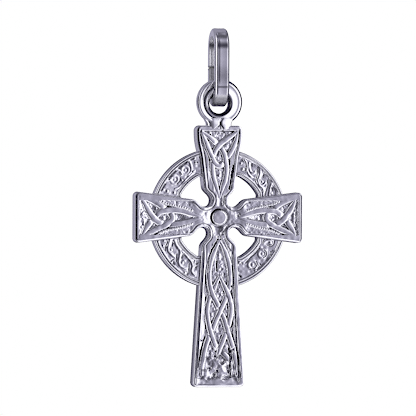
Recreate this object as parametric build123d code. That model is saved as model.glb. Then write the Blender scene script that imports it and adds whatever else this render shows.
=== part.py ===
from build123d import *
import math
import os

# Celtic cross pendant, hanging upright and facing -Y
# The origin is the top of the bail's inner bend, where a chain carries it
# Lengths are millimetres

# Bail, an oblong link of flat strap that stands square to the cross
bail_height = 10.15
bail_width = 5.05
strap_width = 1.85
strap_thickness = 1.3
strap_edge = 0.3
split_gap = 0.06

# Eye on top of the cross, carried by the bail's lower bend
eye_radius = 3.0
eye_hole_radius = 1.27
eye_hole_drop = 0.24
eye_thickness = 1.7
eye_rounding = 0.62
eye_clearance = 0.34
neck_width = 3.3
neck_lap = 0.7
neck_rounding = 0.4
eye_rise = 3.16

# Cross body
cross_thickness = 2.0
wall_draft = 3.5
corner_radius = 0.45
arm_span = 11.0
arm_root = 3.4
arm_root_half = 2.25
arm_end_half = 3.25
head_length = 11.8
head_root_half = 1.92
head_end_half = 2.92
shaft_length = 21.85
shaft_root_half = 2.2
shaft_end_half = 3.32
armpit_radius = 0.92
armpit_across = 2.02
armpit_up = 2.15
armpit_rounding = 0.4

# Ring behind the arms
ring_radius = 9.07
ring_hole_radius = 5.85
ring_setback = 0.35

# Raised relief
relief_depth = 0.38
rim_width = 0.34
strand_width = 0.55
weave_gap = 0.13
ring_rim = 0.52
ring_groove = 0.12
ring_groove_depth = 0.14
ring_relief_depth = 0.3
scroll_width = 0.27
scroll_radius = 0.68
scroll_turn = 330.0
scroll_tightening = 0.42
scroll_steps = 12
scroll_stem_angle = 6.5
scroll_start = 75.0
scroll_bead_radius = 0.15
scroll_pitch = 15.5
scrolls_per_quarter = 4
boss_radius = 0.97
boss_groove = 0.18
boss_groove_depth = 0.25
foot_border = 1.15
field_start = 2.75
shaft_field_start = 3.13

# Places worked out from the sizes
bend_outer = bail_width / 2
bend_inner = bend_outer - strap_thickness
upper_bend_z = -bend_inner
lower_bend_z = strap_thickness - bail_height + bend_outer
pivot_z = lower_bend_z
eye_hole_z = pivot_z - bend_inner + eye_clearance - eye_hole_radius
eye_z = eye_hole_z + eye_hole_drop
cross_z = eye_z - eye_rise - head_length
front_y = -cross_thickness / 2
ring_front_y = front_y + ring_setback
back_y = cross_thickness / 2

# Strand routes of an arm's knot, from the tip near the boss to the outer corners
# Columns: distance from the cross centre over the arm's length, height over the half width
KNOT_LOW = [
    (0.25, -0.03), (0.34, -0.19), (0.44, -0.30), (0.55, -0.35), (0.64, -0.34), (0.73, -0.22),
    (0.80, 0.02), (0.86, 0.34), (0.91, 0.64), (0.94, 0.80),
]
KNOT_HIGH = [
    (0.25, 0.03), (0.33, 0.16), (0.42, 0.31), (0.52, 0.36), (0.61, 0.33), (0.70, 0.25),
    (0.77, 0.03), (0.83, -0.22), (0.88, -0.46), (0.93, -0.78),
]
KNOT_BOW = [
    (0.94, 0.80), (0.86, 0.77), (0.77, 0.68), (0.67, 0.46), (0.59, 0.18), (0.565, -0.03),
    (0.60, -0.24), (0.67, -0.41), (0.76, -0.55), (0.85, -0.67), (0.93, -0.78),
]

# Strand routes of the shaft's plait, in the same two columns, across counted to the right
PLAIT_L = [
    (0.140, 0.0), (0.178, -0.18), (0.225, -0.38), (0.279, -0.51), (0.326, -0.56), (0.373, -0.53),
    (0.421, -0.44), (0.462, -0.31), (0.504, -0.12), (0.545, 0.05), (0.587, 0.19), (0.628, 0.31),
    (0.676, 0.41), (0.723, 0.52), (0.770, 0.62), (0.824, 0.69), (0.877, 0.73), (0.931, 0.74),
]
PLAIT_R = [
    (0.140, 0.04), (0.190, 0.30), (0.237, 0.46), (0.290, 0.56), (0.344, 0.60), (0.385, 0.58),
    (0.430, 0.49), (0.474, 0.36), (0.516, 0.20), (0.557, 0.04), (0.599, -0.10), (0.640, -0.23),
    (0.676, -0.34), (0.729, -0.52), (0.776, -0.61), (0.830, -0.66), (0.883, -0.70), (0.931, -0.70),
]
PLAIT_P = [
    (0.350, 0.03), (0.379, -0.11), (0.415, -0.24), (0.450, -0.38), (0.486, -0.50), (0.527, -0.57),
    (0.575, -0.57), (0.622, -0.50), (0.670, -0.40), (0.711, -0.29), (0.753, -0.16), (0.785, 0.02),
    (0.812, 0.17), (0.848, 0.34), (0.889, 0.42),
]
PLAIT_Q = [
    (0.350, 0.05), (0.391, 0.21), (0.433, 0.39), (0.480, 0.53), (0.527, 0.60), (0.569, 0.59),
    (0.605, 0.52), (0.645, 0.43), (0.688, 0.32), (0.723, 0.20), (0.759, 0.09), (0.800, -0.02),
    (0.842, -0.15), (0.883, -0.30),
]


def smooth_route(points, steps=2):
    """A curve through the points, with a few extra points between each pair."""
    route = [points[0]]
    for i in range(len(points) - 1):
        before = points[max(i - 1, 0)]
        start = points[i]
        end = points[i + 1]
        after = points[min(i + 2, len(points) - 1)]
        for step in range(1, steps + 1):
            t = step / steps
            place = []
            for axis in range(2):
                bend = 2 * before[axis] - 5 * start[axis] + 4 * end[axis] - after[axis]
                twist = 3 * (start[axis] - end[axis]) + after[axis] - before[axis]
                rise = end[axis] - before[axis]
                place.append(start[axis] + 0.5 * (rise * t + bend * t**2 + twist * t**3))
            route.append((place[0], place[1]))
    return route


def crossing_of(first, second):
    """The point where two routes cross away from their shared ends."""
    for i in range(1, len(first) - 2):
        for j in range(1, len(second) - 2):
            (ax, ay), (bx, by) = first[i], first[i + 1]
            (cx, cy), (dx, dy) = second[j], second[j + 1]
            area = (bx - ax) * (dy - cy) - (by - ay) * (dx - cx)
            if abs(area) < 1e-12:
                continue
            t = ((cx - ax) * (dy - cy) - (cy - ay) * (dx - cx)) / area
            s = ((cx - ax) * (by - ay) - (cy - ay) * (bx - ax)) / area
            if 0 <= t <= 1 and 0 <= s <= 1:
                return (ax + t * (bx - ax), ay + t * (by - ay))
    return None


def distance_to(point, route):
    """The shortest distance from a point to a route."""
    best = math.inf
    for (ax, ay), (bx, by) in zip(route, route[1:]):
        length = math.hypot(bx - ax, by - ay)
        along = ((point[0] - ax) * (bx - ax) + (point[1] - ay) * (by - ay)) / length**2
        along = min(max(along, 0.0), 1.0)
        near = (ax + along * (bx - ax), ay + along * (by - ay))
        best = min(best, math.dist(point, near))
    return best


def break_under(routes, over):
    """Open a gap in a strand's runs where it dips below another strand."""
    runs = []
    clear = strand_width / 2 + weave_gap
    for run in routes:
        crossing = crossing_of(run, over)
        if crossing is None:
            runs.append(run)
            continue
        dense = []
        for (ax, ay), (bx, by) in zip(run, run[1:]):
            pieces = max(1, math.ceil(math.dist((ax, ay), (bx, by)) / (weave_gap / 2)))
            for piece in range(pieces):
                share = piece / pieces
                dense.append((ax + share * (bx - ax), ay + share * (by - ay)))
        dense.append(run[-1])
        near = 2.5 * strand_width
        hidden = [math.dist(p, crossing) < near and distance_to(p, over) < clear for p in dense]
        first = hidden.index(True)
        last = len(hidden) - 1 - hidden[::-1].index(True)
        kept = set(run)
        runs.append([p for p in dense[:first] if p in kept] + [dense[first]])
        runs.append([dense[last]] + [p for p in dense[last + 1:] if p in kept])
    return runs


def band(route, width):
    """A flat strip of even width along a route."""
    left = []
    right = []
    for i, (x, y) in enumerate(route):
        ahead = route[min(i + 1, len(route) - 1)]
        behind = route[max(i - 1, 0)]
        length = math.dist(ahead, behind)
        across = (-(ahead[1] - behind[1]) / length, (ahead[0] - behind[0]) / length)
        left.append((x + across[0] * width / 2, y + across[1] * width / 2))
        right.append((x - across[0] * width / 2, y - across[1] * width / 2))
    return make_face(Polyline(*left, *reversed(right), close=True))


def half_width(share, length, root, root_half, end_half):
    """An arm's half width at a share of its length."""
    return root_half + (end_half - root_half) * (share * length - root) / (length - root)


def arm_point(share, across, arm):
    """A place on an arm in the plane of the cross, from its two shares."""
    length, root, root_half, end_half, direction = arm
    along = share * length
    side = across * half_width(share, length, root, root_half, end_half)
    if direction == "left":
        return (-along, side)
    if direction == "right":
        return (along, side)
    if direction == "up":
        return (side, along)
    return (side, -along)


ARMS = {
    "left": (arm_span, arm_root, arm_root_half, arm_end_half, "left"),
    "right": (arm_span, arm_root, arm_root_half, arm_end_half, "right"),
    "up": (head_length, arm_root, head_root_half, head_end_half, "up"),
    "down": (shaft_length, arm_root, shaft_root_half, shaft_end_half, "down"),
}


def arm_outline(arm, root_share, end_share, inset):
    """The four corners of an arm or of the field inside its rim."""
    length, root, root_half, end_half, _ = arm
    corners = []
    for share, side in ((root_share, 1), (end_share, 1), (end_share, -1), (root_share, -1)):
        half = half_width(share, length, root, root_half, end_half)
        corners.append(arm_point(share, side * (1 - inset / half), arm))
    return corners


def arm_face(arm):
    """An arm's front, from the cross centre to its rounded outer end."""
    face = make_face(Polyline(*arm_outline(arm, 0.0, 1.0, 0.0), close=True))
    outer = [v for v in face.vertices() if abs(v.X) + abs(v.Y) > arm[0]]
    return fillet(outer, corner_radius)


def cross_outline():
    """The whole front of the cross, with the four round armpits bitten out."""
    face = None
    for arm in ARMS.values():
        face = arm_face(arm) if face is None else face + arm_face(arm)
    face -= armpits(armpit_radius)
    bitten = [v for v in face.vertices() if min(armpit_distances(v)) < armpit_radius * 1.001]
    return fillet(bitten, armpit_rounding)


def armpit_centres():
    """The middles of the four armpits."""
    return [(side * armpit_across, rise * armpit_up) for side in (1, -1) for rise in (1, -1)]


def armpit_distances(vertex):
    """How far a corner of the outline lies from each armpit's middle."""
    return [math.dist((vertex.X, vertex.Y), centre) for centre in armpit_centres()]


def armpits(radius):
    """Four discs on the armpits' middles."""
    discs = None
    for centre in armpit_centres():
        disc = Pos(*centre) * Circle(radius)
        discs = disc if discs is None else discs + disc
    return discs


def field_face(arm, start, end_border):
    """The sunk field of an arm, inside its rim and clear of the armpits."""
    length = arm[0]
    corners = arm_outline(arm, start / length, 1 - end_border / length, rim_width)
    return make_face(Polyline(*corners, close=True)) - armpits(armpit_radius + rim_width)


def knot_strands(arm):
    """The three strands of an arm's knot, each broken where it dips under its neighbour."""
    low, high, bow = (
        smooth_route([arm_point(share, across, arm) for share, across in table])
        for table in (KNOT_LOW, KNOT_HIGH, KNOT_BOW)
    )
    runs = break_under([high], low) + break_under([bow], high) + break_under([low], bow)
    return [band(run, strand_width) for run in runs]


def plait_strands(arm):
    """The four strands of the shaft's plait, broken at each crossing in turn."""
    left, right, short_left, short_right = (
        [arm_point(share, across, arm) for share, across in table]
        for table in (PLAIT_L, PLAIT_R, PLAIT_P, PLAIT_Q)
    )
    runs = break_under([left], right)
    runs += break_under(break_under([right], short_right), short_left)
    runs += break_under(break_under([short_left], left), short_right)
    runs += break_under([short_right], left)
    return [band(run, strand_width) for run in runs]


def scroll(angle, from_outer):
    """One scroll of the ring: a stem off a rim that curls in to a bead."""
    middle = (ring_radius + ring_hole_radius) / 2
    centre = (middle * math.cos(math.radians(angle)), middle * math.sin(math.radians(angle)))
    side = 1 if from_outer else -1
    half_turn = 0 if from_outer else 180
    stem_reach = side * (ring_radius - ring_hole_radius - 2 * ring_rim) / 2
    stem_heading = math.radians(angle + scroll_stem_angle * side)
    stem_radius = middle + stem_reach
    route = [(stem_radius * math.cos(stem_heading), stem_radius * math.sin(stem_heading))]
    for step in range(scroll_steps + 1):
        share = step / scroll_steps
        radius = scroll_radius * (1 - scroll_tightening * share)
        heading = math.radians(angle + half_turn + scroll_start + scroll_turn * share)
        route.append((centre[0] + radius * math.cos(heading), centre[1] + radius * math.sin(heading)))
    bead = Pos(*centre) * Circle(scroll_bead_radius)
    return [band(route, scroll_width), bead]


def on_plane(y):
    """A plane of the cross at a depth, seen from the front."""
    return Plane(origin=(0, y, cross_z), x_dir=(1, 0, 0), z_dir=(0, -1, 0))


def raised_from_back(face, height, draft):
    """A body drawn from the flat back towards the front, narrower at the front."""
    return extrude(on_plane(back_y) * face, height, taper=draft)


def build_cross():
    """The cross, its ring, its eye and its relief as one casting."""
    widening = cross_thickness * math.tan(math.radians(wall_draft))
    outline = cross_outline()
    foot = offset(outline, widening, kind=Kind.INTERSECTION)
    body = raised_from_back(foot, cross_thickness, wall_draft)

    ring = Circle(ring_radius) - Circle(ring_hole_radius)
    body += raised_from_back(ring, cross_thickness - ring_setback, 0)

    eye_up = eye_z - cross_z
    eye = Pos(0, eye_up) * Circle(eye_radius) - Pos(0, eye_hole_z - cross_z) * Circle(eye_hole_radius)
    eye = extrude(on_plane(eye_thickness / 2) * eye, eye_thickness)
    rims = [e for e in eye.edges() if abs(abs(e.center().Y) - eye_thickness / 2) < 1e-6]
    eye = fillet(rims, eye_rounding)
    neck_height = eye_rise - eye_radius + neck_lap + corner_radius
    neck_middle = head_length - corner_radius + neck_height / 2
    neck = Pos(0, neck_middle) * Rectangle(neck_width, neck_height)
    neck = extrude(on_plane(eye_thickness / 2) * neck, eye_thickness)
    neck = fillet(neck.edges().filter_by(Axis.Z), neck_rounding)
    body += neck
    body += eye

    sunk = []
    for name, arm in ARMS.items():
        if name == "down":
            field = field_face(arm, shaft_field_start, foot_border)
            strands = plait_strands(arm)
        else:
            field = field_face(arm, field_start, rim_width)
            strands = knot_strands(arm)
        for strand in strands:
            field -= strand
        sunk.append(extrude(on_plane(front_y) * field, -relief_depth))
    for piece in sunk:
        body -= piece

    sunk_ring = Circle(ring_radius - ring_rim) - Circle(ring_hole_radius + ring_rim) - foot
    for corner in range(4):
        for count in range(scrolls_per_quarter):
            place = count - (scrolls_per_quarter - 1) / 2
            angle = 45 + 90 * corner + place * scroll_pitch
            for piece in scroll(angle, from_outer=corner < 2):
                sunk_ring -= piece
    body -= extrude(on_plane(ring_front_y) * sunk_ring, -ring_relief_depth)
    for middle in (ring_radius - ring_rim / 2, ring_hole_radius + ring_rim / 2):
        groove = Circle(middle + ring_groove / 2) - Circle(middle - ring_groove / 2) - foot
        body -= extrude(on_plane(ring_front_y) * groove, -ring_groove_depth)

    circle = Circle(boss_radius + boss_groove) - Circle(boss_radius)
    body -= extrude(on_plane(front_y) * circle, -boss_groove_depth)
    return body


def build_bail():
    """The bail, a flat strap bent to a long loop with a closed split in its rear leg."""
    middle_z = (upper_bend_z + lower_bend_z) / 2
    side = Plane(origin=(-strap_width / 2, 0, middle_z), x_dir=(0, 0, 1), z_dir=(1, 0, 0))
    reach = upper_bend_z - lower_bend_z
    loop = SlotCenterToCenter(reach, 2 * bend_outer) - SlotCenterToCenter(reach, 2 * bend_inner)
    strap = extrude(side * loop, strap_width)
    rims = [e for e in strap.edges() if abs(abs(e.center().X) - strap_width / 2) < 1e-6]
    strap = chamfer(rims, strap_edge)
    split = Pos(0, bend_outer - strap_thickness / 2, middle_z)
    strap -= split * Box(2 * strap_width, 2 * strap_thickness, split_gap)
    return strap


os.makedirs("parts", exist_ok=True)
export_step(build_bail(), "parts/bail.step")
export_step(build_cross(), "parts/cross.step")
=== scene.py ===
"""Looks of a silver Celtic cross pendant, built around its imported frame.

The file is laid out as an add-on and is run as a script. Lengths in the properties are metres,
and the shape code below works in millimetres.
"""

import math
from collections import namedtuple

import bpy
import numpy as np
from bpy.props import FloatProperty, FloatVectorProperty, PointerProperty
from mathutils import Matrix, Vector


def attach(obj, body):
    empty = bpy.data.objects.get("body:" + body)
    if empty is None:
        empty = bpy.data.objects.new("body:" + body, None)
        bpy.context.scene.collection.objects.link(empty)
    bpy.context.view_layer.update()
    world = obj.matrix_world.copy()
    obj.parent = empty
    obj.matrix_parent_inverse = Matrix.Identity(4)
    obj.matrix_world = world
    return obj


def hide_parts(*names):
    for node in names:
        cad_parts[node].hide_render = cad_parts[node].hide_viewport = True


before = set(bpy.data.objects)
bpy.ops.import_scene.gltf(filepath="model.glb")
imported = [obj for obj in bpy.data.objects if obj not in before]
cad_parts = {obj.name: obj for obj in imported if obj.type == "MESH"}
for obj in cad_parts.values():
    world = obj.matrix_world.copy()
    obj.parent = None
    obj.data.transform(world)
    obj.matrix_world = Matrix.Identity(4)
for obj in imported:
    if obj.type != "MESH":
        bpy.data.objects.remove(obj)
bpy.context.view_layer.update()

bl_info = {
    "name": "Celtic Cross Pendant",
    "version": (1, 0, 0),
    "blender": (4, 5, 0),
    "location": "View3D > Sidebar > Pendant",
    "description": "Builds the cast cross, its ring, its eye and its bail in polished silver",
    "category": "Add Mesh",
}

MM = 0.001

# Where the frame puts the parts, in millimetres
FRONT = -1.0
BACK = 1.0
RING_FRONT = -0.65
PIVOT_Z = -6.325
CROSS_Z = -23.2
EYE_Z = -8.24
EYE_HOLE_Z = -8.48
EYE_SHIFT = 0.12

# A height below everything, for places where a form isn't
NOWHERE = -9.0

# Arms: length, distance where the taper starts, half width there, half width at the end, direction, and how
# much the sides swell before the end
Arm = namedtuple("Arm", "length root root_half end_half way swell")
ARMS = {
    "left": Arm(11.0, 3.4, 2.25, 3.25, (-1, 0), 0.0),
    "right": Arm(11.0, 3.4, 2.25, 3.25, (1, 0), 0.0),
    "up": Arm(11.8, 3.4, 1.92, 2.92, (0, 1), 0.2),
    "down": Arm(21.85, 3.4, 2.2, 3.32, (0, -1), 0.0),
}
SWELL_FROM_END = 1.8
SWELL_REACH = 2.4
ARM_CORNER = 0.55

# How far the outline of one arm goes past the middle, under the other arms
ARM_PAST_CENTRE = 1.5

# The round armpits: their middles and radius, and the fillet between them and the arms
ARMPITS = [(1.98, 2.17), (-1.84, 2.22), (2.12, -2.12), (-2.22, -2.10)]
ARMPIT_RADIUS = 0.92
ARMPIT_FILLET = 0.85

# The cross is made as two meshes that meet at this height, under the ring's inner edge. The grid of both
# reaches this far to each side, up, and down from the cut.
SHAFT_CUT = -4.35
GRID_SIDE = 11.4
GRID_TOP = 12.2
GRID_BELOW_CUT = 17.85

# Woven strands: their routes as shares of an arm's length and of its half width, which passes under which,
# the leaf's edge in the same shares, and how many pieces lie between two points of a route
Weave = namedtuple("Weave", "strands unders edge steps")
KNOT = Weave(
    strands={
        "low": [
            (0.22, -0.02), (0.34, -0.20), (0.44, -0.30), (0.55, -0.35), (0.64, -0.34), (0.73, -0.22),
            (0.80, 0.02), (0.86, 0.34), (0.91, 0.64), (0.95, 0.83),
        ],
        "high": [
            (0.22, 0.02), (0.33, 0.18), (0.42, 0.31), (0.52, 0.36), (0.61, 0.33), (0.70, 0.25),
            (0.77, 0.03), (0.83, -0.22), (0.88, -0.46), (0.94, -0.82),
        ],
        "bow": [
            (0.95, 0.83), (0.86, 0.77), (0.77, 0.68), (0.67, 0.46), (0.59, 0.18), (0.565, -0.03),
            (0.60, -0.24), (0.67, -0.41), (0.76, -0.55), (0.85, -0.67), (0.94, -0.82),
        ],
    },
    unders=[("high", "low"), ("bow", "high"), ("low", "bow")],
    edge=[
        (0.20, 0.0), (0.25, 0.06), (0.34, 0.24), (0.44, 0.38), (0.55, 0.45), (0.64, 0.50), (0.72, 0.62),
        (0.77, 0.74), (0.86, 0.86), (0.94, 0.92), (1.0, 0.92),
    ],
    steps=6)
PLAIT = Weave(
    strands={
        "left": [
            (0.140, 0.0), (0.178, -0.18), (0.225, -0.38), (0.279, -0.51), (0.326, -0.56), (0.373, -0.53),
            (0.421, -0.44), (0.462, -0.31), (0.504, -0.12), (0.545, 0.05), (0.587, 0.19), (0.628, 0.31),
            (0.676, 0.41), (0.723, 0.52), (0.770, 0.62), (0.824, 0.69), (0.877, 0.73), (0.931, 0.74),
        ],
        "right": [
            (0.140, 0.04), (0.190, 0.30), (0.237, 0.46), (0.290, 0.56), (0.344, 0.60), (0.385, 0.58),
            (0.430, 0.49), (0.474, 0.36), (0.516, 0.20), (0.557, 0.04), (0.599, -0.10), (0.640, -0.23),
            (0.676, -0.34), (0.729, -0.52), (0.776, -0.61), (0.830, -0.66), (0.883, -0.70), (0.931, -0.70),
        ],
        "inner left": [
            (0.350, 0.03), (0.379, -0.11), (0.415, -0.24), (0.450, -0.38), (0.486, -0.50), (0.527, -0.57),
            (0.575, -0.57), (0.622, -0.50), (0.670, -0.40), (0.711, -0.29), (0.753, -0.16), (0.785, 0.02),
            (0.806, 0.19), (0.836, 0.40), (0.883, 0.50), (0.931, 0.50),
        ],
        "inner right": [
            (0.350, 0.05), (0.391, 0.21), (0.433, 0.39), (0.480, 0.53), (0.527, 0.60), (0.569, 0.59),
            (0.605, 0.52), (0.645, 0.43), (0.688, 0.32), (0.723, 0.20), (0.759, 0.09), (0.800, -0.02),
            (0.833, -0.08),
        ],
    },
    unders=[
        ("left", "right"), ("right", "inner right"), ("right", "inner left"), ("inner left", "left"),
        ("inner left", "inner right"), ("inner right", "left"),
    ],
    edge=[
        (0.10, 0.0), (0.14, 0.06), (0.19, 0.38), (0.237, 0.55), (0.29, 0.66), (0.344, 0.70), (0.385, 0.68),
        (0.43, 0.62), (0.50, 0.64), (0.575, 0.66), (0.65, 0.58), (0.70, 0.60), (0.77, 0.72), (0.83, 0.80),
        (0.93, 0.86), (1.0, 0.86),
    ],
    steps=4)

# How far a strand sinks or rises where it crosses another, and over what length
STRAND_DIP = -0.24
STRAND_RISE = 0.03
DIP_REACH = 0.42

# The sunk field of each arm: its weave, the plain border at its end, how softly the border falls, the
# strands' share of the full width, the rise of the ground towards the end, the height of the lines in the
# margins, where the leaf's tip is shallower and by how much, the first and last place of the grains beside
# the leaf with their number, and how far out and how large they are
Field = namedtuple(
    "Field", "weave border soft strand end_rise lines tip shallow grains grain_out grain_radius")
FIELDS = {
    "left": Field(KNOT, 0.50, 0.08, 1.0, 0.26, 0.0, (5.2, 3.4), 0.17, (3.7, 7.8, 14), 0.34, 0.16),
    "right": Field(KNOT, 0.50, 0.08, 1.0, 0.12, 0.0, (5.2, 3.4), 0.17, (3.7, 7.8, 14), 0.34, 0.16),
    "up": Field(KNOT, 0.64, 0.08, 0.86, 0.0, 0.03, (5.2, 3.4), 0.05, (0, 0, 0), 0.12, 0.11),
    "down": Field(PLAIT, 1.20, 0.3, 0.86, 0.0, 0.075, (5.4, 3.8), 0.05, (2.5, 4.6, 7), 0.12, 0.11),
}

# Small torn pits and broad dents: place on the cross, radius, depth
PITS = [
    (-1.14, -19.5, 0.38, 0.2), (-0.15, -19.84, 0.30, 0.2), (-0.56, -20.4, 0.36, 0.2),
    (0.45, -18.8, 0.34, 0.18), (-2.4, -15.9, 0.20, 0.11), (1.31, -20.0, 0.26, 0.18),
    (1.67, -17.25, 0.34, 0.22), (-0.40, -17.95, 0.28, 0.18), (-1.39, -20.8, 0.39, 0.12),
    (2.5, 0.3, 0.28, 0.12), (1.66, -8.9, 0.16, 0.2), (-1.1, 7.5, 0.13, 0.18), (-1.25, 10.7, 0.11, 0.14),
    (0.35, 10.85, 0.10, 0.14), (0.8, 10.75, 0.10, 0.14), (-0.3, 10.8, 0.10, 0.14),
]
DENTS = [
    (1.25, -19.3, 0.85, 0.22), (-1.2, -19.0, 0.75, 0.12), (0.9, -20.75, 0.65, 0.12),
    (-0.45, -1.65, 1.0, 0.26), (0.15, 1.95, 0.6, 0.10),
]

# Longer gouges: their points on the cross, half width, depth
GOUGES = [
    ([(1.30, 3.7), (1.52, 4.8), (1.72, 5.8), (1.86, 6.7)], 0.16, 0.24),
    ([(-0.22, -5.6), (-0.26, -6.2), (-0.22, -6.9)], 0.13, 0.22),
    ([(2.12, -13.9), (2.16, -15.2), (2.2, -16.5)], 0.08, 0.12),
    ([(2.62, -17.8), (2.68, -19.1)], 0.09, 0.12),
    ([(0.22, 11.9), (0.1, 11.5), (0.75, 10.9)], 0.09, 0.14),
    ([(1.0, -1.15), (0.65, -1.7), (0.3, -2.2)], 0.19, 0.12),
    ([(0.62, 2.8), (0.55, 2.2), (0.5, 1.7)], 0.15, 0.11),
    ([(0.67, -2.8), (1.04, -3.5), (1.43, -4.25)], 0.13, 0.12),
    ([(-0.21, -2.8), (-0.73, -3.7), (-1.1, -4.5), (-1.39, -5.8), (-1.54, -7.1)], 0.13, 0.13),
    ([(-0.9, -20.55), (0.3, -20.65), (1.4, -20.5), (2.2, -20.3)], 0.24, 0.07),
    ([(-2.5, -17.0), (-2.62, -19.6)], 0.08, 0.10),
    ([(1.35, -16.9), (1.5, -18.3), (1.55, -20.5)], 0.14, 0.2),
]

# Left edges of the front: distance inside the outline, height over the plane, painted shade
EDGE_UPPER = [
    (0.0, -0.05, 0.7), (0.03, -0.04, 1.0), (0.14, -0.005, 1.0), (0.19, 0.0, 0.2), (0.26, 0.0, 0.0),
    (0.43, -0.06, 0.5), (0.48, -0.04, 0.8), (0.56, 0.0, 0.3), (0.62, 0.0, 0.0),
]
EDGE_SHAFT = [
    (0.0, -0.03, 0.0), (0.14, -0.03, 0.1), (0.24, 0.0, 0.5), (0.32, 0.025, 0.9), (0.38, 0.025, 0.1),
    (0.46, 0.02, 0.0), (0.88, -0.02, 0.0), (1.3, 0.0, 0.0),
]
EDGE_END = [
    (0.0, -0.05, 0.8), (0.02, -0.045, 1.0), (0.14, 0.0, 1.0), (0.20, 0.0, 0.1), (0.36, 0.0, 0.0),
    (0.42, -0.02, 0.4), (0.48, 0.0, 0.0),
]

# The cast ring is a little out of line: shifts of its hole and of its rim
RING_HOLE_SHIFT = (0.11, 0.09)
RING_RIM_SHIFT = (0.0, -0.12)
RING_COLUMNS = 940
RING_ROWS = 62

# The ring's walls: radius past the outer rim or past the hole, depth, painted shade
RING_OUTER_WALL = [
    (0.02, -0.42, 0.0), (0.02, -0.3, 0.1), (0.02, 0.82, 0.25), (-0.02, 0.93, 0.1), (-0.12, 0.98, 0.0),
]
RING_HOLE_WALL = [
    (0.12, 0.98, 0.0), (0.02, 0.93, 0.3), (0.0, 0.82, 0.9), (0.0, -0.3, 0.9), (0.0, -0.42, 0.7),
]

# The ring's carving was picked on a view of the photograph round the ring: four quarters, each
# enlarged this many times and set side by side. The second ones start at this pixel of the view, and the
# gap before them is narrow. The quarters start at these pixels of the photograph, from the left and the top.
VIEW_ZOOM = 14
VIEW_SECOND = 792
VIEW_GAP = 4
QUARTERS_LEFT = (152, 228)
QUARTERS_TOP = (146, 232)

# The middle of the cross in the photograph, and the photograph's scale across and up
MIDDLE_ACROSS = 219.1
MIDDLE_DOWN = 217.4
PIXELS_PER_MM_ACROSS = 7.54
MM_PER_PIXEL_UP = 0.1295

# Curls of the ring: middle as pixels of the view, radius in millimetres
CURLS = [
    (318, 472, 0.5), (465, 340, 0.48), (218, 635, 0.25), (318, 655, 0.2), (612, 235, 0.2), (598, 178, 0.16),
    (425, 482, 0.15), (975, 240, 0.2), (1000, 322, 0.2), (1272, 498, 0.22), (1402, 655, 0.2),
    (278, 1045, 0.23), (435, 1222, 0.23), (180, 915, 0.16), (165, 985, 0.14), (288, 1215, 0.15),
    (470, 1365, 0.18), (1282, 1095, 0.5), (1142, 1248, 0.54), (1392, 938, 0.28), (935, 1365, 0.2),
]

# Raised strokes of the ring: their points as pixels of the view, half width in millimetres
STROKES = [
    ([(186, 477), (238, 475), (278, 458)], 0.17), ([(350, 325), (395, 360), (420, 400)], 0.17),
    ([(515, 200), (538, 250), (555, 310), (548, 360), (515, 400)], 0.15),
    ([(600, 350), (520, 430), (430, 535), (385, 580), (330, 605)], 0.13),
    ([(1005, 185), (1050, 240), (1064, 300), (1050, 350)], 0.15),
    ([(1085, 235), (1092, 300), (1112, 355), (1150, 378), (1172, 360)], 0.15),
    ([(1055, 300), (1072, 370), (1120, 430), (1175, 460)], 0.12),
    ([(1165, 200), (1220, 270), (1245, 340), (1235, 420), (1215, 480), (1235, 545), (1285, 600),
      (1290, 680)], 0.19),
    ([(1250, 330), (1310, 360), (1380, 440), (1405, 520), (1385, 590), (1372, 680)], 0.16),
    ([(1245, 460), (1245, 515), (1280, 540), (1312, 512)], 0.13),
    ([(1400, 520), (1445, 570), (1480, 640)], 0.12),
    ([(262, 905), (238, 985), (240, 1055), (285, 1105), (330, 1155)], 0.17),
    ([(325, 915), (365, 1000), (402, 1050), (400, 1130), (385, 1220), (430, 1285), (490, 1315)], 0.18),
    ([(430, 1060), (490, 1120), (555, 1200), (578, 1270), (565, 1340), (610, 1400)], 0.16),
    ([(610, 1195), (592, 1280)], 0.11), ([(1305, 935), (1350, 905), (1400, 895)], 0.17),
    ([(1180, 1330), (1270, 1270), (1350, 1190), (1400, 1110), (1440, 1050)], 0.13),
    ([(1262, 1305), (1335, 1245), (1405, 1160)], 0.1), ([(925, 1250), (985, 1190), (1040, 1150)], 0.12),
]

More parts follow.
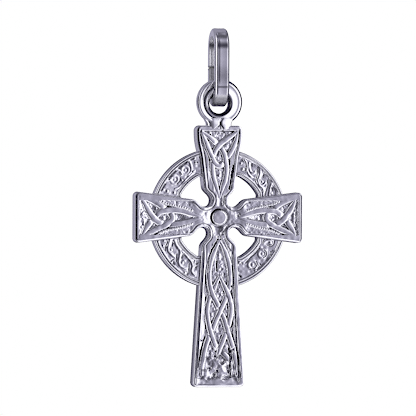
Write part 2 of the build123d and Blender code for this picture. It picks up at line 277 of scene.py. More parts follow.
# Dark gouges of the ring: their points as pixels of the view, half width in millimetres
CUTS = [
    ([(132, 632), (160, 580), (192, 535)], 0.12), ([(235, 472), (280, 410), (335, 352)], 0.15),
    ([(372, 322), (430, 275), (495, 218)], 0.15), ([(545, 198), (585, 165)], 0.14),
    ([(398, 445), (392, 490), (352, 532)], 0.09), ([(626, 224), (634, 232)], 0.1),
    ([(558, 340), (570, 372)], 0.08), ([(1010, 180), (1042, 245), (1045, 300), (1032, 352)], 0.1),
    ([(1125, 245), (1125, 275)], 0.17), ([(1200, 330), (1205, 400), (1185, 470), (1180, 500)], 0.1),
    ([(1302, 372), (1282, 430)], 0.13), ([(1345, 480), (1352, 540), (1330, 620), (1310, 690)], 0.1),
    ([(1412, 580), (1418, 612)], 0.14), ([(1270, 628), (1280, 640)], 0.08),
    ([(1300, 345), (1360, 400), (1400, 460)], 0.06), ([(232, 915), (195, 1010), (188, 1050)], 0.11),
    ([(302, 930), (286, 992)], 0.12), ([(352, 1100), (346, 1200)], 0.11),
    ([(448, 1100), (425, 1155)], 0.13), ([(525, 1240), (518, 1370)], 0.11),
    ([(648, 1222), (628, 1240)], 0.13), ([(632, 1275), (618, 1288)], 0.12),
    ([(275, 1190), (312, 1165)], 0.08), ([(308, 1210), (315, 1240)], 0.13), ([(92, 970), (112, 1012)], 0.09),
    ([(500, 1368), (504, 1388)], 0.11), ([(1300, 1040), (1335, 1075), (1325, 1125), (1290, 1148)], 0.09),
    ([(1190, 1200), (1205, 1245), (1160, 1300), (1100, 1305)], 0.09),
    ([(1340, 965), (1390, 990), (1435, 965), (1448, 915)], 0.08), ([(1300, 895), (1288, 940)], 0.13),
    ([(1240, 1010), (1180, 1085), (1110, 1150), (1040, 1225)], 0.11),
    ([(1390, 1065), (1396, 1110), (1375, 1142)], 0.08), ([(1242, 1230), (1250, 1262), (1200, 1320)], 0.08),
    ([(958, 1398), (972, 1412)], 0.2), ([(945, 1225), (948, 1237)], 0.1), ([(990, 1215), (995, 1240)], 0.08),
]

# Cross section of the eye: share of the way from its hole to its rim, depth on its left and on its right
# side, painted shade on its left and on its right side. It is drawn for an eye of this thickness.
EYE_PROFILE_THICKNESS = 1.7
EYE_PROFILE = [
    (0.0, -0.05, -0.05, 0.9, 0.8), (0.0, -0.28, -0.28, 0.9, 0.7), (0.02, -0.48, -0.50, 0.85, 0.6),
    (0.05, -0.60, -0.66, 0.8, 0.5), (0.09, -0.66, -0.76, 0.7, 0.5), (0.14, -0.72, -0.82, 0.2, 0.5),
    (0.20, -0.765, -0.845, 0.0, 0.3), (0.26, -0.78, -0.84, 0.0, 0.1), (0.30, -0.765, -0.82, 0.3, 0.0),
    (0.34, -0.70, -0.795, 0.8, 0.0), (0.375, -0.67, -0.77, 1.0, 0.0), (0.41, -0.69, -0.745, 0.8, 0.0),
    (0.45, -0.72, -0.72, 0.1, 0.0), (0.50, -0.755, -0.69, 0.0, 0.0), (0.56, -0.795, -0.66, 0.0, 0.0),
    (0.62, -0.83, -0.64, 0.0, 0.0), (0.67, -0.85, -0.63, 0.0, 0.2), (0.72, -0.86, -0.625, 0.0, 0.4),
    (0.76, -0.862, -0.62, 0.0, 0.2), (0.80, -0.86, -0.59, 0.0, 0.0), (0.84, -0.85, -0.54, 0.0, 0.1),
    (0.88, -0.82, -0.48, 0.0, 0.5), (0.91, -0.77, -0.42, 0.0, 0.85), (0.94, -0.68, -0.34, 0.0, 0.95),
    (0.97, -0.50, -0.24, 0.0, 0.95), (1.0, -0.18, -0.10, 0.1, 0.95), (1.0, 0.05, 0.05, 0.1, 0.8),
    (1.0, 0.22, 0.22, 0.2, 0.4), (0.985, 0.42, 0.42, 0.2, 0.1), (0.94, 0.58, 0.58, 0.1, 0.0),
    (0.86, 0.71, 0.71, 0.0, 0.0), (0.75, 0.80, 0.80, 0.0, 0.0), (0.62, 0.84, 0.84, 0.0, 0.0),
    (0.5, 0.85, 0.85, 0.0, 0.0), (0.38, 0.84, 0.84, 0.0, 0.0), (0.25, 0.80, 0.80, 0.0, 0.0),
    (0.14, 0.71, 0.71, 0.1, 0.1), (0.06, 0.58, 0.58, 0.3, 0.3), (0.015, 0.42, 0.42, 0.7, 0.7),
    (0.0, 0.22, 0.22, 0.9, 0.9),
]
EYE_STEPS = 320

# The neck: its top, how far down it goes, its flat back, its rows and the points in each
NECK_TOP = -10.35
NECK_LENGTH = 1.55
NECK_BACK = 0.78
NECK_ROWS = 40
NECK_POINTS = 160

# The bail: the radius of the strap's edges, how hollow its broad faces are, and the bevel of its two ends,
# with the distance between rows of points there
BAIL_EDGE = 0.36
BAIL_HOLLOW = 0.018
BAIL_END_BEVEL = 0.10
BAIL_ROW_STEP = 0.055

# The camera's aim and its sensor, and half the floor's side in metres
CAMERA_AIM = (-1.28, 0.20, -21.98)
SENSOR_WIDTH = 36
FLOOR_HALF = 1.2

# How far the mean height that shows up a recess reaches, on the cross and in points on the ring
RECESS_REACH = 0.15
RING_RECESS_POINTS = 3

# What the silver mirrors, by the direction it looks in, as angle and brightness. Azimuth 0 is the front and
# 90 the right, and elevation 90 is straight up.
ROOM_ROUND = [
    (-180, 0.40), (-163, 0.42), (-152, 0.12), (-112, 0.06), (-102, 1.15), (-58, 1.15), (-50, 0.25),
    (-40, 0.08), (-14, 0.12), (0, 0.26), (12, 0.39), (24, 0.62), (34, 1.2), (106, 1.25), (114, 0.10),
    (150, 0.05), (176, 0.07), (180, 0.40),
]
ROOM_UP = [
    (-90, 0.42), (-82, 0.5), (-77, 1.2), (-56, 1.2), (-50, 0.55), (0, 0.4), (36, 0.36), (52, 0.26),
    (60, 0.11), (74, 0.11), (80, 0.34),
]


class CastingSizes(bpy.types.PropertyGroup):
    """Sizes of the cast cross and its relief."""

    mesh_step: FloatProperty(
        name="Mesh step", description="Spacing of the mesh on the carved front",
        default=0.00005, min=0.00004, unit="LENGTH")
    edge_bevel: FloatProperty(
        name="Edge bevel", description="Width of the bevel on the outline's front edge",
        default=0.00004, min=0.0, unit="LENGTH")
    ground_depth: FloatProperty(
        name="Ground depth", description="Depth of the ground below the strands",
        default=0.00034, min=0.0, unit="LENGTH")
    strand_width: FloatProperty(
        name="Strand width", description="Width of a strand of the knots",
        default=0.00094, min=0.0, unit="LENGTH")
    boss_radius: FloatProperty(
        name="Boss radius", description="Radius of the plain disc in the middle",
        default=0.00097, min=0.0, unit="LENGTH")


class RingSizes(bpy.types.PropertyGroup):
    """Sizes of the ring behind the arms."""

    outer_radius: FloatProperty(
        name="Outer radius", description="Radius of the ring's outer rim",
        default=0.00907, min=0.0, unit="LENGTH")
    hole_radius: FloatProperty(
        name="Hole radius", description="Radius of the ring's inner rim",
        default=0.00585, min=0.0, unit="LENGTH")
    scroll_width: FloatProperty(
        name="Scroll width", description="Width of the scrolls, as a share of their cast width",
        default=1.25, min=0.1, subtype="FACTOR")


class EyeSizes(bpy.types.PropertyGroup):
    """Sizes of the eye on top of the cross."""

    radius: FloatProperty(
        name="Radius", description="Outer radius of the eye", default=0.003, min=0.0, unit="LENGTH")
    hole_radius: FloatProperty(
        name="Hole radius", description="Radius of the eye's hole",
        default=0.00127, min=0.0, unit="LENGTH")
    thickness: FloatProperty(
        name="Thickness", description="Thickness of the eye from front to back",
        default=0.0017, min=0.0, unit="LENGTH")


class BailSizes(bpy.types.PropertyGroup):
    """Sizes of the bail."""

    width: FloatProperty(
        name="Strap width", description="Width of the flat strap",
        default=0.00185, min=0.0, unit="LENGTH")
    thickness: FloatProperty(
        name="Strap thickness", description="Thickness of the flat strap",
        default=0.0013, min=0.0, unit="LENGTH")
    bend: FloatProperty(
        name="Bend radius", description="Outer radius of the strap's two bends",
        default=0.002525, min=0.0, unit="LENGTH")
    split: FloatProperty(
        name="Split", description="Gap of the closed split in the rear leg",
        default=0.00006, min=0.0, unit="LENGTH")


class SilverColours(bpy.types.PropertyGroup):
    """Colours of the silver."""

    polished: FloatVectorProperty(
        name="Polished", description="Colour of the polished silver",
        default=(0.93, 0.925, 0.95), size=3, subtype="COLOR", min=0.0, max=1.0)
    # The dark colour serves for tarnish in the recesses and for painted shade
    tarnish_and_shade_colour: FloatVectorProperty(
        name="Tarnished", description="Colour of the darkened silver in the recesses",
        default=(0.06, 0.057, 0.085), size=3, subtype="COLOR", min=0.0, max=1.0)


class StudioSettings(bpy.types.PropertyGroup):
    """Camera, light and floor."""

    azimuth: FloatProperty(
        name="Azimuth", description="Direction of the camera round the pendant",
        default=math.radians(-12.5), subtype="ANGLE")
    roll: FloatProperty(
        name="Roll", description="Turn of the camera about its own line of sight",
        default=math.radians(0.25), subtype="ANGLE")
    distance: FloatProperty(
        name="Distance", description="Distance from the camera to the pendant",
        default=0.4489, min=0.1, unit="LENGTH")
    lens: FloatProperty(
        name="Lens", description="Focal length of the camera", default=300.0, min=1.0, unit="CAMERA")
    grey: FloatVectorProperty(
        name="Grey", description="Colour of the room that the flat silver mirrors",
        default=(0.315, 0.305, 0.385), size=3, subtype="COLOR", min=0.0, max=1.0)
    sharpening: FloatProperty(
        name="Sharpening", description="Share of a sharpened picture mixed into the picture",
        default=0.14, min=0.0, max=1.0)
    floor_drop: FloatProperty(
        name="Floor drop", description="Height of the chain seat above the floor",
        default=0.5, min=0.1, unit="LENGTH")


def mm(length):
    """A property's length in millimetres, without the noise of its short float."""
    return round(length / MM, 5)


def smooth_route(points, steps):
    """A curve through the points, with extra points between each pair."""
    knots = np.array([points[0], *points, points[-1]], float)
    route = [knots[1]]
    for before, start, end, after in zip(knots, knots[1:], knots[2:], knots[3:]):
        for share in np.arange(1, steps + 1) / steps:
            rise = (end - before) * share
            bend = (2 * before - 5 * start + 4 * end - after) * share**2
            twist = (3 * (start - end) + after - before) * share**3
            route.append(start + 0.5 * (rise + bend + twist))
    return np.array(route)


def nearest_on_route(places, route):
    """How far each place lies from a route, and how far along the route that is."""
    gap = np.full(len(places), np.inf)
    along = np.zeros(len(places))
    travelled = 0.0
    for start, end in zip(route, route[1:]):
        step = end - start
        length = math.hypot(*step)
        share = np.clip((places - start) @ step / length**2, 0, 1)
        here = np.hypot(*(places - start - share[:, None] * step).T)
        closer = here < gap
        gap = np.where(closer, here, gap)
        along = np.where(closer, travelled + share * length, along)
        travelled += length
    return gap, along


def crossing_places(route, other):
    """How far along a route it crosses another, away from their shared ends."""
    found = []
    travelled = 0.0
    for i, (start, end) in enumerate(zip(route, route[1:])):
        step = end - start
        if 1 < i < len(route) - 3:
            for j in range(2, len(other) - 3):
                span = other[j + 1] - other[j]
                area = step[0] * span[1] - step[1] * span[0]
                if abs(area) < 1e-12:
                    continue
                lead = other[j] - start
                share = (lead[0] * span[1] - lead[1] * span[0]) / area
                other_share = (lead[0] * step[1] - lead[1] * step[0]) / area
                if 0 <= share < 1 and 0 <= other_share < 1:
                    found.append(travelled + share * math.hypot(*step))
        travelled += math.hypot(*step)
    return found


def smooth_step(low, high, values):
    """0 below low, 1 above high, and a smooth rise between."""
    share = np.clip((values - low) / (high - low), 0, 1)
    return share * share * (3 - 2 * share)


def ridge(values, middle, half):
    """A smooth bump, 1 at the middle and 0 from half its width on."""
    return np.clip(1 - ((values - middle) / half) ** 2, 0, 1) ** 2


def cast_noise(places, scale, seed):
    """Soft random unevenness from -1 to 1, with lumps of about the given scale."""
    cells = places / scale
    low = np.floor(cells.min(axis=0)).astype(int)
    size = np.ceil(cells.max(axis=0)).astype(int) - low + 2
    lattice = np.random.default_rng(seed).uniform(-1, 1, size)
    corner = np.floor(cells).astype(int) - low
    share = cells - np.floor(cells)
    share = share * share * (3 - 2 * share)
    i, j = corner.T
    across, up = share.T
    lower = lattice[i, j] * (1 - across) + lattice[i + 1, j] * across
    upper = lattice[i, j + 1] * (1 - across) + lattice[i + 1, j + 1] * across
    return lower * (1 - up) + upper * up


def half_width(along, arm):
    """An arm's half width at a distance from the cross centre."""
    taper = (arm.end_half - arm.root_half) * (along - arm.root) / (arm.length - arm.root)
    return arm.root_half + taper + arm.swell * ridge(along, arm.length - SWELL_FROM_END, SWELL_REACH)


def leaf_swell(share, arm):
    """How much wider the knot's leaf is on an arm that swells."""
    return 1 + 1.1 * arm.swell * ridge(share, 0.46, 0.26)


def leaf_half(along, name):
    """Half width of an arm's woven leaf at a distance from the cross centre."""
    arm = ARMS[name]
    share = along / arm.length
    edge = np.interp(share, *np.transpose(FIELDS[name].weave.edge))
    if name == "up":
        edge *= 1 - 0.075 * smooth_step(0.80, 0.88, share)
    return half_width(along, arm) * edge * leaf_swell(share, arm)


def arm_places(table, arm):
    """Places on the cross of a table of shares of an arm."""
    places = []
    for share, across in table:
        along = share * arm.length
        side = across * half_width(along, arm) * leaf_swell(share, arm)
        places.append((arm.way[0] * along, side) if arm.way[0] else (side, arm.way[1] * along))
    return places


def arm_coordinates(places, arm):
    """Distance along an arm and across it, for places on the cross."""
    return places @ np.array(arm.way, float), places[:, 1] if arm.way[0] else places[:, 0]


def arm_gap(places, arm):
    """Signed distance to an arm's outline, below zero inside, with rounded outer corners."""
    along, across = arm_coordinates(places, arm)
    slope = (arm.end_half - arm.root_half) / (arm.length - arm.root)
    side = (np.abs(across) - half_width(along, arm)) / math.hypot(1, slope)
    return np.maximum(rounded_cut(along - arm.length, side, ARM_CORNER), -along - ARM_PAST_CENTRE)


def rounded_cut(first, second, radius):
    """Signed distance to where two shapes overlap, with the corner between them rounded."""
    outside = np.hypot(np.maximum(first + radius, 0), np.maximum(second + radius, 0))
    return np.minimum(np.maximum(first, second), -radius) + outside


def cross_gap(places):
    """Signed distance to the outline of the cross, below zero inside."""
    arms = np.min([arm_gap(places, arm) for arm in ARMS.values()], axis=0)
    armpits = np.min([np.hypot(*(places - centre).T) for centre in ARMPITS], axis=0) - ARMPIT_RADIUS
    return rounded_cut(arms, -armpits, ARMPIT_FILLET)


def half_outline(side):
    """The outline of the cross above the shaft's cut, or with side -1 of the shaft below it."""
    def outline(places):
        return np.maximum(cross_gap(places), side * (SHAFT_CUT - places[:, 1]))
    return outline


def outline_slope(outline, places):
    """The direction in which the distance to an outline grows."""
    reach = 0.01
    across = outline(places + (reach, 0)) - outline(places - (reach, 0))
    up = outline(places + (0, reach)) - outline(places - (0, reach))
    slope = np.stack([across, up], axis=1) / (2 * reach)
    return slope / np.maximum(np.hypot(*slope.T), 1e-9)[:, None]


def even_grid(low, high, step):
    """Evenly spaced places over a box, in rows and columns."""
    across = np.arange(low[0], high[0] + step, step)
    up = np.arange(low[1], high[1] + step, step)
    return np.stack(np.meshgrid(across, up), axis=-1)


def sampled(values, low, step, places):
    """Values of an even grid at places between its points."""
    column = np.clip((places[:, 0] - low[0]) / step, 0, values.shape[1] - 1.001)
    row = np.clip((places[:, 1] - low[1]) / step, 0, values.shape[0] - 1.001)
    i, j = row.astype(int), column.astype(int)
    up, across = row - i, column - j
    lower = values[i, j] * (1 - across) + values[i, j + 1] * across
    upper = values[i + 1, j] * (1 - across) + values[i + 1, j + 1] * across
    return lower * (1 - up) + upper * up


def fitted_grid(outline, grid, step):
    """A fine flat mesh inside an outline, its border points moved onto the outline."""
    rows, columns = grid.shape[:2]
    places = grid.reshape(-1, 2).copy()
    gap = outline(places)
    border = np.abs(gap) <= step / 2
    moved = places[border]
    for _ in range(3):
        moved = moved - outline(moved)[:, None] * outline_slope(outline, moved)
    places[border] = moved
    side = np.where(border, 0, np.sign(gap)).astype(int)
    index = np.arange(rows * columns).reshape(rows, columns)
    corners = np.stack([index[:-1, :-1], index[:-1, 1:], index[1:, 1:], index[1:, :-1]], axis=-1)
    corners = corners.reshape(-1, 4)
    outside = side[corners] > 0
    inside = side[corners] < 0
    whole = corners[(outside.sum(axis=1) == 0) & inside.any(axis=1)]
    faces = [tuple(quad) for quad in whole.tolist()]
    cut = (outside.sum(axis=1) == 1) & inside.any(axis=1)
    for quad, out in zip(corners[cut].tolist(), outside[cut].tolist()):
        faces.append(tuple(corner for corner, gone in zip(quad, out) if not gone))
    used = np.unique(np.concatenate([np.ravel(face) for face in faces]))
    renumber = np.full(len(places), -1)
    renumber[used] = np.arange(len(used))
    faces = [tuple(renumber[list(face)].tolist()) for face in faces]
    return places[used], faces


def border_edges(faces):
    """The open edges of a mesh, each in its face's own direction."""
    edges = set()
    for face in faces:
        for start, end in zip(face, face[1:] + face[:1]):
            if (end, start) in edges:
                edges.remove((end, start))
            else:
                edges.add((start, end))
    return edges


# Rows of points down the walls of the cross: how far out, how deep, and the painted shade everywhere, beside
# the shaft, in the armpits, and on walls that face right. The rows with painted shade to the right are the
# lip, which also follows the carved front where that lies deeper.
WallRow = namedtuple("WallRow", "out deep dark by_shaft in_armpit turned")

# Angle in degrees at which the walls widen, and how far one behind another the lip's rows lie at least
DRAFT_ANGLE = 3.5
LIP_STEP = 0.03


def wall_rows(bevel):
    """The rows of the cross's walls, which widen a little towards the back."""
    draft = (BACK - FRONT) * math.tan(math.radians(DRAFT_ANGLE))
    lip = FRONT + bevel
    return [WallRow(*row) for row in (
        (0.05, lip + 0.03, 0.0, 0.0, 0.2, 0.8),
        (0.075, lip + 0.08, 0.0, 0.0, 0.2, 0.8),
        (0.085, lip + 0.30, 0.0, 0.0, 0.2, 0.8),
        (0.75 * draft, 0.0, 0.1, 0.5, 0.9, 0.0),
        (0.9 * draft, 0.7, 0.2, 0.5, 0.9, 0.0),
        (0.95 * draft, BACK - 0.16, 0.2, 0.5, 0.9, 0.0),
        (0.9 * draft, BACK - 0.07, 0.1, 0.0, 0.0, 0.0),
        (0.55 * draft, BACK - 0.02, 0.0, 0.0, 0.0, 0.0),
        (0.0, BACK, 0.0, 0.0, 0.0, 0.0),
    )]


def closed_plate(places, faces, depth, normals, shade, rows, reach):
    """Adds walls and a back to a carved front, and gives points, faces, normals, and tarnish with painted
    shade.
    """
    follows = dict(border_edges(faces))
    loop = [min(follows)]
    while follows[loop[-1]] != loop[0]:
        loop.append(follows[loop[-1]])
    rim = places[loop]
    # The cut between two meshes goes straight back, and only the outline widens
    outward = outline_slope(cross_gap, rim) * (cross_gap(rim) > -reach)[:, None]
    to_right = np.clip(outward[:, 0], 0, 1)
    armpit = smooth_step(5.0, 3.9, np.hypot(*rim.T))
    shaft = smooth_step(4.5, 6.0, -rim[:, 1])
    points = [np.column_stack([places[:, 0], depth, places[:, 1]])]
    normals = [normals]
    shades = [shade]
    layers = [loop]
    profile = [(0.0, float(np.median(depth[loop]))), *((row.out, row.deep) for row in rows)]
    count = len(places)
    for k, row in enumerate(rows, 1):
        ring = rim + (row.out * (1 - 0.6 * to_right))[:, None] * outward
        lip = np.maximum(row.deep, depth[loop] + LIP_STEP * k)
        level = lip if row.turned else np.full(len(ring), row.deep)
        points.append(np.column_stack([ring[:, 0], level, ring[:, 1]]))
        last = profile[min(k + 1, len(profile) - 1)]
        run, fall = last[0] - profile[k - 1][0], last[1] - profile[k - 1][1]
        flat = np.column_stack([outward[:, 0] * fall, np.full(len(ring), -run), outward[:, 1] * fall])
        normals.append(flat / math.hypot(run, fall))
        # Painted shade on the walls: more beside the shaft, in the armpits, and on the lip where it faces
        # right
        wall = np.maximum(row.dark + row.by_shaft * shaft, row.in_armpit * armpit)
        shades.append(np.maximum(wall, row.turned * np.clip(1.5 * outward[:, 0], 0, 1)))
        layers.append(list(range(count, count + len(ring))))
        count += len(ring)
    corner = normals[0][loop] + normals[1]
    corner /= np.linalg.norm(corner, axis=1)[:, None]
    normals[0][loop] = np.where(outward.any(axis=1)[:, None], corner, normals[0][loop])
    faces = list(faces)
    for upper, lower in zip(layers, layers[1:]):
        for i in range(len(loop)):
            j = (i + 1) % len(loop)
            faces.append((upper[j], upper[i], lower[i], lower[j]))
    faces.append(tuple(layers[-1][::-1]))
    return np.concatenate(points), faces, np.concatenate(normals), np.concatenate(shades)


def closed_sweep(rings, closed_way):
    """Faces between equal rings of points, each ring closed, and the way closed or capped."""
    count, size = len(rings), len(rings[0])
    points = np.concatenate(rings)
    faces = []
    for i in range(count if closed_way else count - 1):
        k = (i + 1) % count
        for j in range(size):
            n = (j + 1) % size
            faces.append((i * size + j, i * size + n, k * size + n, k * size + j))
    if not closed_way:
        faces.append(tuple(range(size - 1, -1, -1)))
        faces.append(tuple((count - 1) * size + j for j in range(size)))
    return points, faces


def add_piece(name, points, faces, tarnish_and_shade, body, node, normals=None):
    """Makes a mesh object from millimetres, with its tarnish and painted shade, and hangs it on its body."""
    mesh = bpy.data.meshes.new(name)
    mesh.from_pydata((points * MM).tolist(), [], faces)
    mesh.shade_smooth()
    layer = mesh.attributes.new("tarnish_and_shade", "FLOAT", "POINT")
    layer.data.foreach_set("value", np.asarray(tarnish_and_shade, np.float32))
    if normals is not None:
        corners = np.zeros(len(mesh.loops), int)
        mesh.loops.foreach_get("vertex_index", corners)
        directions = normals[corners]
        # The last face is the flat back
        directions[-len(faces[-1]):] = (0, 1, 0)
        mesh.normals_split_custom_set(directions.tolist())
    mesh.update()
    piece = bpy.data.objects.new(name, mesh)
    bpy.context.scene.collection.objects.link(piece)
    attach(piece, body)
    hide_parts(node)
    return piece


def strand_height(places, route, dips, width, depth):
    """Height of one strand above the front plane, and far below it away from the strand."""
    gap, along = nearest_on_route(places, route)
    length = np.hypot(*np.diff(route, axis=0).T).sum()
    to_tip = np.minimum(along, length - along)
    gap = gap / (0.62 + 0.38 * smooth_step(0.0, 2.2, to_tip))
    lift = np.zeros(len(places))
    for middle, amount in dips:
        lift += amount * np.exp(-(((along - middle) / DIP_REACH) ** 2))
    half = width / 2
    flat, brim = 0.54 * half, 0.88 * half
    crown = 0.02 * np.clip(gap / flat, 0, 1) ** 2
    bevel = 0.65 * np.clip(gap - flat, 0, brim - flat)
    drop = (depth + lift) * np.clip((gap - brim) / (half - brim), 0, 1)
    height = lift - np.maximum(crown + bevel, drop)
    return np.where(gap < half, height, NOWHERE)


def woven_height(places, arm, weave, width, depth):
    """Height of an arm's woven strands, each sinking where it passes under another."""
    routes = {}
    dips = {}
    for name, table in weave.strands.items():
        routes[name] = smooth_route(arm_places(table, arm), weave.steps)
        dips[name] = []
    for lower, upper in weave.unders:
        dips[lower] += [(place, STRAND_DIP) for place in crossing_places(routes[lower], routes[upper])]
        dips[upper] += [(place, STRAND_RISE) for place in crossing_places(routes[upper], routes[lower])]
    heights = [strand_height(places, route, dips[name], width, depth) for name, route in routes.items()]
    return np.max(heights, axis=0)


def field_height(places, inside, name, sizes):
    """The sunk field of an arm with its ground, grains and strands, and the margins beside it."""
    arm, field = ARMS[name], FIELDS[name]
    standing, plaited = arm.way[0] == 0, field.weave is PLAIT
    depth = mm(sizes.ground_depth)
    along, across = arm_coordinates(places, arm)
    to_end = arm.length - along
    border = field.border + (0.25 * cast_noise(places, 0.8, 33) if plaited else 0.0)
    leaf = leaf_half(along, name)
    past_leaf = np.abs(across) - leaf
    sink = smooth_step(-field.soft, 0.06, to_end - border) * smooth_step(0.22, 0.09, past_leaf)
    sink = sink * smooth_step(2.2, 3.2, along)
    fine = 0.05 * cast_noise(places, 0.32, 11) + 0.018 * cast_noise(places, 0.16, 12)
    if standing:
        lines = field.lines * cast_noise(np.column_stack([along / 7, across]), 0.26, 13)
        margin = (lines - 0.05) * smooth_step(0.34, 0.5, inside)
    else:
        margin = -0.16 * np.clip(past_leaf / np.maximum(half_width(along, arm) - leaf, 0.3), 0, 1)
        margin = margin + 0.6 * fine * smooth_step(0.15, 0.4, inside)
    margin = margin * smooth_step(-0.08, 0.06, to_end - border) * smooth_step(3.0, 4.0, along)
    worn = smooth_step(0.80, 0.90, along / arm.length) if plaited else 0.0
    fine = fine * (1 - 0.7 * worn) + field.shallow * smooth_step(*field.tip, along)
    if not standing:
        fine = 1.4 * fine + field.end_rise * smooth_step(2.3, 0.5, to_end)
    ground = margin * (1 - sink) + (fine - depth) * sink
    width = field.strand * mm(sizes.strand_width)
    strands = woven_height(places, arm, field.weave, width, depth)
    if plaited:
        strands = strands - worn * (0.08 + 0.07 * cast_noise(places, 0.7, 31))
        strands = np.where(to_end < border - 0.05, NOWHERE, strands)
        ground = ground + worn * sink * (0.10 + 0.10 * cast_noise(places, 0.85, 32))
        # The plain foot is dished and uneven
        foot = smooth_step(border, border - 0.3, to_end) * smooth_step(0.1, 0.4, inside)
        uneven = 0.10 * cast_noise(places, 1.0, 34) + 0.012 * cast_noise(places, 0.35, 35)
        ground = ground - foot * (0.10 + uneven)
    strands = np.where(along > 0, strands, NOWHERE)
    # Grains stand on the side arms' margins, and are punched into the shaft's
    grains = np.full(len(places), NOWHERE)
    for place in np.linspace(*field.grains):
        out = leaf_half(place, name) + field.grain_out
        for side in (out, -out):
            gap = np.hypot(along - place, across - side) / field.grain_radius
            dome = np.clip(1 - gap**2, 0, 1)
            if standing:
                ground = ground - 0.14 * dome
            else:
                grains = np.maximum(grains, np.where(gap < 1, ground + 0.13 * np.sqrt(dome), NOWHERE))
    return np.maximum(np.maximum(ground, strands), grains)


def rim_grooves(places, inside):
    """How far the outline's edge falls away, how deep the fine grooves along it are, and the painted shade
    along it.
    """
    facing = np.zeros_like(places)
    near = (inside > -0.2) & (inside < 1.4)
    facing[near] = outline_slope(cross_gap, places[near])
    left, below = (np.clip(-facing, 0, 1) ** 2).T
    right, above = (np.clip(facing, 0, 1) ** 2).T
    x, z = places.T
    head = smooth_step(2.4, 3.2, z)
    upper = smooth_step(4.2, 5.2, z)
    shaft = smooth_step(4.2, 5.2, -z)
    ends = smooth_step(10.0, 10.4, np.abs(x))
    armpits = 1 - smooth_step(3.9, 4.9, np.hypot(x, z))
    plain = left * (1 - np.clip(head + shaft + ends, 0, 1))
    fall = 0.13 * below + 0.07 * above + 0.07 * plain + 0.015 * right
    width = 0.20 * below + 0.10 * above + 0.17 * left + 0.08 * right
    edge = fall * np.clip(1 - inside / np.maximum(width, 0.05), 0, 1)
    grooves = right * (upper * ridge(inside, 0.36, 0.12) + shaft * ridge(inside, 0.60, 0.12))
    grooves += right * ends * (ridge(inside, 0.80, 0.12) + 0.8 * ridge(inside, 0.15, 0.10))
    grooves += armpits * 0.4 * ridge(inside, 0.40, 0.11)
    # Painted shade: dark lines in the grooves, and along the left edges from the edge tables
    black = 0.9 * np.sqrt(grooves)
    faded = 0.5 + 0.5 * smooth_step(4.5, 7.0, np.abs(z))
    edges = ((head, EDGE_UPPER, faded), (shaft, EDGE_SHAFT, 1.0), (ends, EDGE_END, 1.0))
    for weight, table, strength in edges:
        distance, height, dark = np.transpose(table)
        edge -= left * weight * np.interp(inside, distance, height)
        black = np.maximum(black, left * weight * strength * np.interp(inside, distance, dark))
    return edge, 0.11 * grooves, black


def boss_panel(places, boss):
    """Height of the boss and of the panel round it, the groove between them, and the painted shade in it."""
    from_centre = np.hypot(*places.T)
    to_left = np.clip((places @ np.array([-0.85, 0.5])) / np.maximum(from_centre, 0.1) + 0.25, 0, 1)
    dish = 1 - smooth_step(0.9, 2.7, from_centre)
    height = -np.where(from_centre < boss + 0.05, -0.04, (0.08 + 0.16 * to_left) * dish)
    uneven = 0.06 * cast_noise(places, 0.5, 43) + 0.02 * cast_noise(places, 0.25, 44)
    height += uneven * ridge(from_centre, 1.9, 1.2)
    height -= 0.6 * np.clip(from_centre - boss + 0.16, 0, 0.16) * (from_centre < boss)
    # The upper arm and the panel lean a little to the right
    lean = 0.035 * smooth_step(3.5, 5.0, places[:, 1]) + 0.03 * ridge(from_centre, boss + 1.2, 1.3)
    height -= lean * (places[:, 0] + 1.0)
    # The groove round the boss is deepest on the left, and its painted shade is darkest on the left, with a
    # painted dark ring further out on the right
    around = ridge(from_centre, boss + 0.08, 0.15)
    black = np.maximum((0.15 + 0.85 * to_left) * np.sqrt(around),
                       0.7 * (1 - to_left) * ridge(from_centre, boss + 0.33, 0.10))
    return height, (0.06 + 0.14 * to_left) * around, black


def carved_height(places, inside, sizes):
    """Height of the carved front over its plane, then how deep its fine grooves are and how dark, from
    tarnish and painted shade.
    """
    height = np.zeros(len(places))
    for name, arm in ARMS.items():
        along, across = arm_coordinates(places, arm)
        near = (along > 2.2) & (inside > -0.3)
        if name in ("left", "right"):
            near &= np.abs(across) < 3.6
        height[near] = field_height(places[near], inside[near], name, sizes)
    edge, grooves, black = rim_grooves(places, inside)
    panel, groove, shade = boss_panel(places, mm(sizes.boss_radius))
    height += panel - edge
    grooves += groove
    black = np.maximum(black, shade)
    for x, z, radius, depth in DENTS:
        grooves += depth * ridge(np.hypot(places[:, 0] - x, places[:, 1] - z), 0, radius)
    torn = 1 + 0.55 * cast_noise(places, 0.22, 45)
    hollows = [(np.hypot(places[:, 0] - x, places[:, 1] - z), *rest, 0.9) for x, z, *rest in PITS]
    hollows += [(nearest_on_route(places, smooth_route(way, 3))[0], *rest, 1.0) for way, *rest in GOUGES]
    for gap, radius, depth, strength in hollows:
        hollow = ridge(gap * torn, 0, radius)
        grooves += depth * hollow
        black = np.maximum(black, strength * min(5 * depth, 1) * hollow)
    # The foot is stained in patches
    stained = smooth_step(-17.2, -18.4, places[:, 1]) * smooth_step(0.7, 1.0, inside)
    black = np.maximum(black, 0.6 * stained * smooth_step(0.15, 0.55, cast_noise(places, 0.42, 46)))
    height += 0.03 * cast_noise(places, 1.1, 41) + 0.012 * cast_noise(places, 0.45, 42)
    return height, grooves, black


def recess_tarnish(grid, reach):
    """How dark each grid point's recess is, from its depth below the mean height around it."""
    mean = grid
    for axis in (0, 1):
        margins = [(reach, reach) if side == axis else (0, 0) for side in (0, 1)]
        padded = np.pad(mean, margins, "edge")
        mean = np.lib.stride_tricks.sliding_window_view(padded, 2 * reach + 1, axis).mean(-1)
    return np.clip((mean - grid - 0.04) / 0.09, 0, 1)


